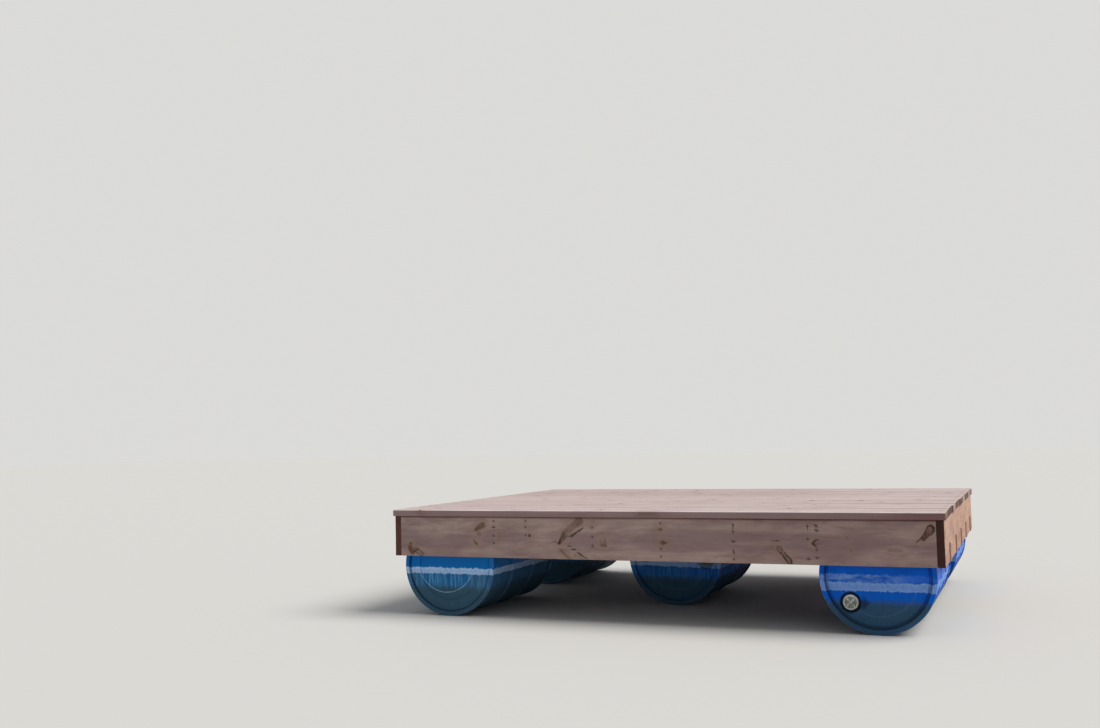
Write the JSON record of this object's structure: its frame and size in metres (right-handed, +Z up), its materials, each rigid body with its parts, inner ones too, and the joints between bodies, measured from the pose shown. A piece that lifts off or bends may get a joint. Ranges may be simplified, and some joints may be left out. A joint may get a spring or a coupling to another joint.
{
  "type": "floating wooden jetty on plastic drums",
  "caption": "Square floating jetty: timber boards nailed across a deep timber frame, carried on closed plastic drums that lie in bays of the frame under the deck.",
  "frame": {"origin": "on the ground under the middle of the jetty, level with the undersides of its drums", "axes": "+Z up, +X to the right along the front rim, +Y from the front to the back"},
  "size_m": [3.144, 2.458, 0.6233],
  "materials": {
    "deck_timber": "new sawn softwood deck boards, pale pinkish tan, bare",
    "rim_timber": "sawn softwood frame boards with knots, brown, bare",
    "joist_timber": "sawn softwood joists, brown, bare",
    "drum_plastic": "blue blow-moulded plastic with water marks and algae",
    "bung_plastic": "off-white moulded plastic"
  },
  "bodies": {
    "root": {"deck_board_01": "deck_timber", "deck_board_02": "deck_timber", "deck_board_03": "deck_timber", "deck_board_04": "deck_timber", "deck_board_05": "deck_timber", "deck_board_06": "deck_timber", "deck_board_07": "deck_timber", "deck_board_08": "deck_timber", "deck_board_09": "deck_timber", "deck_board_10": "deck_timber", "deck_board_11": "deck_timber", "deck_board_12": "deck_timber", "deck_board_13": "deck_timber", "deck_board_14": "deck_timber", "deck_board_15": "deck_timber", "deck_board_16": "deck_timber", "deck_board_17": "deck_timber", "front_rim_board": "rim_timber", "back_rim_board": "rim_timber", "left_side_board": "rim_timber", "right_side_board": "rim_timber", "left_bay_joist": "joist_timber", "left_inner_joist": "joist_timber", "right_inner_joist": "joist_timber", "right_double_joist": "joist_timber", "right_bay_joist": "joist_timber", "front_header": "joist_timber", "back_header": "joist_timber", "front_short_joists": "joist_timber", "back_short_joists": "joist_timber", "centre_trimmers": "joist_timber", "front_left_block": "joist_timber", "front_right_block": "joist_timber", "back_left_block": "joist_timber", "back_right_block": "joist_timber", "drum_front_left": "drum_plastic", "drum_front_right": "drum_plastic", "drum_centre": "drum_plastic", "drum_back_left": "drum_plastic", "drum_back_right": "drum_plastic", "drum_bungs": "bung_plastic"}
  },
  "joints": []
}
